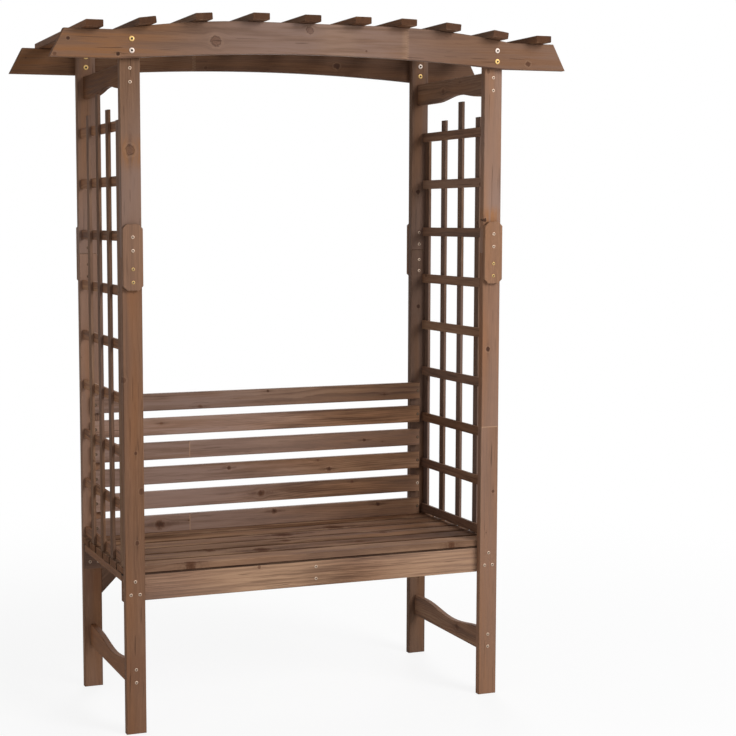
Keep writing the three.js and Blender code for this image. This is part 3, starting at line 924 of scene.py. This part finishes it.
class ARBOUR_OT_trellis(bpy.types.Operator):
    """Models the laths of both trellis panels, with sanded edges"""
    bl_idname = "arbour.trellis"
    bl_label = "Build the Trellises"

    def lath(self, length, number):
        """One upright lath from the origin up, a little uneven from the saw, with rounded edges."""
        look = bpy.context.scene.arbour_trellis
        lath = new_object(bpy.ops.mesh.primitive_cube_add, "lath", size=1, location=(0, 0, length / 2))
        lath.scale = (look.lath_width, look.lath_thickness, length)
        place_in_mesh()
        edit(lath)
        mesh = bmesh.from_edit_mesh(lath.data)
        for edge in mesh.edges:
            first, second = (vertex.co for vertex in edge.verts)
            edge.select_set(abs(first.z - second.z) > length / 2)
        bmesh.update_edit_mesh(lath.data)
        bpy.ops.mesh.subdivide(number_cuts=5)
        unevenness = 0.00022
        bpy.ops.transform.vertex_random(offset=unevenness, seed=number)
        bpy.ops.mesh.select_all(action="SELECT")
        bpy.ops.mesh.normals_make_consistent(inside=False)
        leave_edit(lath)
        apply_change(
            lath, "BEVEL", width=look.edge_radius, segments=2, limit_method="ANGLE",
            angle_limit=math.radians(40))
        return lath

    def row(self, name, node, places, **finish):
        """One piece of all like laths in a panel. A place is a length, a seed and where the lath goes."""
        laths = []
        for length, seed, place in places:
            model = self.lath(length, seed)
            laths.append(copy_at(model, place))
            forget(model)
        piece = settle(laths, name)
        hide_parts(node)
        coat(piece, stained_wood(name.replace("trellis", "wood"), **finish))

    def execute(self, context):
        look = context.scene.arbour_trellis
        low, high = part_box("trellis_left")
        width, thick = look.lath_width, look.lath_thickness
        pitch, heights = rail_places()
        spike_shares = (0.0, 0.404, 1.0, 0.373)
        tops = [look.highest_rail + share * (high.z - look.highest_rail) for share in spike_shares]
        rail_x, upright_x, upright_z = 0.566, 0.574, 1.1
        first_upright_seed = 20
        stand = Matrix.Rotation(math.pi / 2, 4, "Z")
        lie = Matrix.Rotation(-math.pi / 2, 4, "X") @ stand
        rail_finishes = {
            "left": dict(tone=0.96, warmth=0.16, grey=0.1, patch=0.3),
            "right": dict(tone=0.90, warmth=0.06, grey=0.3, patch=0.1)}
        upright_finishes = {
            "left": dict(tone=0.86, grey=0.5, patch=0.05, gloss=0.04),
            "right": dict(tone=0.66, grey=0.8, patch=0.0)}
        for side, sign in SIDES:
            node = f"trellis_{side}"
            turn = Matrix.Rotation(math.pi if sign > 0 else 0, 4, "Z")
            places = [
                (high.y - low.y, number, turn @ Matrix.Translation((high.x - thick / 2, low.y, z)) @ lie)
                for number, z in enumerate(heights)]
            self.row(
                f"trellis_rails_{side}", node, places, axes=DEEP,
                middle=Vector((sign * rail_x, 0, heights[0])), seed=seed_of(node),
                row=(ALONG_Z, look.lowest_rail - (pitch - width) / 2, pitch), **rail_finishes[side])
            ys = upright_places(side)
            places = [
                (top - low.z, first_upright_seed + number,
                 turn @ Matrix.Translation((low.x + thick / 2, y, low.z)) @ stand)
                for number, (y, top) in enumerate(zip(ys, tops))]
            step = ys[1] - ys[0]
            first = ys[0] if sign < 0 else -ys[-1]
            self.row(
                f"trellis_uprights_{side}", node, places, axes=(ALONG_Z, ALONG_Y, ALONG_X),
                middle=Vector((sign * upright_x, first, upright_z)), seed=seed_of(node) + 5,
                row=(ALONG_Y, first - step / 2, step), **upright_finishes[side])
        return {"FINISHED"}


class ARBOUR_OT_beam_bolts(bpy.types.Operator):
    """Models the eight bolts that hold the roof beams to the posts"""
    bl_idname = "arbour.beam_bolts"
    bl_label = "Fit the Beam Bolts"

    def execute(self, context):
        beam_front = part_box("roof_beam_front")[0].y
        post_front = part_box("post_upper_rear_left")[0].y
        fixings = Fixings("bolt", stack=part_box("post_upper_front_left")[1].y - beam_front)
        places = ("left_lower", "left_upper", "right_lower", "right_upper")
        rows = (
            ("front", beam_front, ("white", "yellow", "yellow", "white")),
            ("rear", post_front, ("yellow", "yellow", "yellow", "white")))
        for row, face, platings in rows:
            for place, plating in zip(places, platings):
                node = f"beam_bolt_{row}_{place}"
                middle = middle_of(node)
                piece = fixings.put(f"bolt_{row}_{place}", [((middle.x, face, middle.z), FRONT, plating)])
                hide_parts(node)
        fixings.end()
        return {"FINISHED"}


class ARBOUR_OT_screws(bpy.types.Operator):
    """Drives the wood screws into the plates, boards and slats"""
    bl_idname = "arbour.screws"
    bl_label = "Drive the Screws"

    def execute(self, context):
        fixings = Fixings("screw")
        post_front, plate_front, apron_front = (
            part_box(node)[0].y
            for node in ("post_lower_front_left", "splice_plate_front_left", "seat_apron_front"))
        post_inner, post_rear = (corner.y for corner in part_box("post_lower_rear_left"))
        rail_front, rail_back = (corner.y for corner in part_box("seat_rail_rear"))
        post_x = middle_of("post_lower_front_right").x
        back_x, corner_x, corner_z, rail_z = 0.5395, 0.437, 0.418, 0.396
        single_z, pair_z = 0.434, 0.397
        side_by_side = (-0.013, 0.013)
        plate_heights = {1.389: "white", 1.352: "white", 1.302: "yellow", 1.266: "yellow"}
        board_heights = {"brace": (1.844, 1.807), "stretcher": (0.184, 0.147)}
        for side, sign in SIDES:
            x = sign * post_x
            behind = "white" if side == "right" else "stained"
            fixings.put(f"screws_plate_front_{side}", [
                ((x, plate_front, z), FRONT, plating) for z, plating in plate_heights.items()])
            fixings.put(f"screws_plate_rear_{side}", [
                ((x, post_inner, z), FRONT, behind) for z in plate_heights])
            for board, heights in board_heights.items():
                fixings.put(f"screws_{board}_{side}", [
                    ((x, y, z), way, "white") for y, way in ((post_front, FRONT), (post_rear, BACK))
                    for z in heights])
            fixings.put(f"screws_apron_{side}", [
                ((x + shift, post_front, z), FRONT, "white")
                for shift, z in ((0, single_z), (side_by_side[0], pair_z), (side_by_side[1], pair_z))])
            fixings.put(f"screws_rear_rail_{side}", [
                ((x + shift, rail_front, rail_z), FRONT, "white") for shift in side_by_side])
            places = []
            for number in range(1, 7):
                slat = f"back_slat_{number}"
                plating = "white" if side == "right" and number == 5 else "stained"
                places.append(((sign * back_x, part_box(slat)[0].y, middle_of(slat).z), FRONT, plating))
            fixings.put(f"screws_back_slats_{side}", places)
            fixings.put(f"screws_corner_brace_{side}", [
                ((sign * (corner_x + shift), post_rear, corner_z - shift), BACK, "yellow")
                for shift in (-0.012, 0.012)])
        fixings.put("screws_centre_bearer", [
            ((0, y, z), way, "white") for y, way in ((apron_front, FRONT), (rail_back, BACK))
            for z in (0.430, 0.395)])
        fixings.end()
        return {"FINISHED"}


class ARBOUR_OT_roof_nails(bpy.types.Operator):
    """Drives a flat nail through each roof slat into each beam, flush with the slat"""
    bl_idname = "arbour.roof_nails"
    bl_label = "Nail the Roof Slats"

    def execute(self, context):
        fixings = Fixings("roof_nail")
        reach = middle_of("roof_beam_rear").y
        upward = 0.85
        for number in range(1, 11):
            node = f"roof_slat_{number:02d}"
            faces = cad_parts[node].data.polygons
            top = max((face for face in faces if face.normal.z > upward), key=lambda face: face.area)
            way = top.normal.copy()
            middle = middle_of(node)
            point = middle + way * (top.center - middle).dot(way)
            fixings.put(f"nails_{node}", [((point.x, y, point.z), way, "white") for y in (-reach, reach)])
        fixings.end()
        return {"FINISHED"}


class ARBOUR_OT_trellis_nails(bpy.types.Operator):
    """Nails the uprights to the rails of each trellis panel"""
    bl_idname = "arbour.trellis_nails"
    bl_label = "Nail the Trellises"

    def execute(self, context):
        fixings = Fixings("nail")
        face = -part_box("trellis_left")[0].x
        heights = rail_places()[1]
        for side, sign in SIDES:
            places = []
            for rail, z in enumerate(heights):
                for upright, y in enumerate(upright_places(side)):
                    stray = 0.004 * math.sin(rail * 2.1 + upright * 1.3)
                    places.append(((sign * face, -sign * y, z + stray), (sign, 0, 0), "stained"))
            fixings.put(f"nails_trellis_{side}", places)
        fixings.end()
        return {"FINISHED"}


class ARBOUR_OT_stage(bpy.types.Operator):
    """Lays the floor and sets the surround, the lights and the camera"""
    bl_idname = "arbour.stage"
    bl_label = "Set the Stage"

    def soft_light(self, name, power, size, place, target):
        light = new_object(bpy.ops.object.light_add, name, type="AREA", location=place)
        light.rotation_euler = (Vector(target) - Vector(place)).to_track_quat("-Z", "Y").to_euler()
        light.data.shape = "DISK"
        light.data.size = size
        light.data.energy = power
        light.visible_camera = False

    def floor(self, look):
        """A plain round floor that takes the shadow."""
        radius, middle_radius = 14, 5
        floor = new_object(
            bpy.ops.mesh.primitive_circle_add, "floor", vertices=96, radius=radius, fill_type="NGON",
            location=(0, 0, 0))
        edit(floor)
        bpy.ops.mesh.inset(thickness=radius - middle_radius)
        leave_edit(floor)
        paint = tuple(look.floor_colour)
        f = Finish("floor_paint", toned(paint, 0.985))
        speckle = f.noise(f.place, (60, 60, 60), (0, 0, 0), 3.0)
        f.glaze(speckle, paint)
        f.done(Roughness=0.72 + speckle * 0.1)
        # The camera sees the floor nearly white, and quite white far out, with the shadow on it
        far = f.length(f.along(f.place, ALONG_X), f.along(f.place, ALONG_Y)).step(0.9, 3.4) * 0.15 + 0.85
        seen = f.add("ShaderNodeLightPath", None, None, "Is Camera Ray")
        white = f.add("ShaderNodeEmission", None, {"Color": (1, 1, 1, 1), "Strength": 1.0})
        shown = f.add("ShaderNodeMixShader", None, {
            0: far * seen, 1: Value(f, f.surface.outputs[0]), 2: white})
        f.feed(f.tree.nodes["Material Output"].inputs["Surface"], shown)
        coat(floor, f.material)

    def surround(self, look):
        world = bpy.context.scene.world or bpy.data.worlds.new("surround")
        bpy.context.scene.world = world
        world.use_nodes = True
        world.node_tree.nodes.clear()
        r = Recipe(world.node_tree)
        ray = r.add("ShaderNodeLightPath", None, None, "Is Camera Ray")
        white_for = ray.largest(ray.out("Is Glossy Ray")).largest(ray.out("Is Transmission Ray"))
        even = r.add("ShaderNodeBackground", None, {"Color": (0.97, 0.98, 1.0, 1), "Strength": look.surround})
        white = r.add("ShaderNodeBackground", None, {"Color": (1, 1, 1, 1), "Strength": 1.0})
        mixed = r.add("ShaderNodeMixShader", None, {0: white_for, 1: even, 2: white})
        r.add("ShaderNodeOutputWorld", None, {"Surface": mixed})

    def camera(self, look):
        """The photograph's camera. Its picture, focal length and centre are in pixels."""
        camera = new_object(bpy.ops.object.camera_add, "Camera", location=look.camera_place)
        turn = (
            Matrix.Rotation(-look.camera_heading, 3, "Z")
            @ Matrix.Rotation(math.pi / 2 - look.camera_dip, 3, "X")
            @ Matrix.Rotation(look.camera_roll, 3, "Z"))
        camera.rotation_euler = turn.to_euler()
        sensor, picture, focal, centre = 36, 736, 1594.54, 240
        camera.data.sensor_width = sensor
        camera.data.lens = sensor * focal / picture
        camera.data.shift_x = (picture / 2 - centre) / picture
        camera.data.clip_start = 0.05
        camera.data.clip_end = 200
        bpy.context.scene.camera = camera

    def execute(self, context):
        look = context.scene.arbour_stage
        if look.show_floor:
            self.floor(look)
        self.surround(look)
        self.soft_light("main_light", look.key_power, 3.2, (2.6, -4.6, 3.4), (0.1, 0, 0.95))
        self.soft_light("second_light", look.fill_power, 3.0, (-3.8, -2.6, 2.2), (0, 0, 0.9))
        self.soft_light("back_light", look.back_power, 3.0, (1.8, 4.6, 2.6), (0, 0, 0.9))
        self.camera(look)
        context.scene.view_settings.view_transform = "Standard"
        return {"FINISHED"}


class ARBOUR_PT_panel(bpy.types.Panel):
    """The steps and sizes of the arbour seat"""
    bl_idname = "ARBOUR_PT_panel"
    bl_label = "Arbour Seat"
    bl_space_type = "VIEW_3D"
    bl_region_type = "UI"
    bl_category = "Arbour"

    def draw(self, context):
        layout = self.layout
        for step in STEPS:
            layout.operator(step.bl_idname)
        for title, group, kind in GROUPS:
            box = layout.box()
            box.label(text=title)
            look = getattr(context.scene, group)
            for setting in kind.__annotations__:
                box.prop(look, setting)


STEPS = (
    ARBOUR_OT_stain_posts, ARBOUR_OT_stain_plates, ARBOUR_OT_stain_beams, ARBOUR_OT_stain_roof_slats,
    ARBOUR_OT_stain_side_boards, ARBOUR_OT_stain_seat_frame, ARBOUR_OT_stain_seat, ARBOUR_OT_stain_back,
    ARBOUR_OT_stain_corner_braces, ARBOUR_OT_trellis, ARBOUR_OT_trellis_nails, ARBOUR_OT_beam_bolts,
    ARBOUR_OT_screws, ARBOUR_OT_roof_nails, ARBOUR_OT_stage)
GROUPS = (
    ("Wood", "arbour_wood", WoodLook), ("Fixings", "arbour_fixings", FixingLook),
    ("Trellis", "arbour_trellis", TrellisLook), ("Stage", "arbour_stage", StageLook))


def register():
    for _, group, kind in GROUPS:
        bpy.utils.register_class(kind)
        setattr(bpy.types.Scene, group, PointerProperty(type=kind))
    for kind in STEPS + (ARBOUR_PT_panel,):
        bpy.utils.register_class(kind)


def unregister():
    for kind in (ARBOUR_PT_panel,) + STEPS:
        bpy.utils.unregister_class(kind)
    for _, group, kind in GROUPS:
        delattr(bpy.types.Scene, group)
        bpy.utils.unregister_class(kind)


def main():
    register()
    for step in STEPS:
        family, name = step.bl_idname.split(".")
        getattr(getattr(bpy.ops, family), name)()


if __name__ == "__main__":
    main()
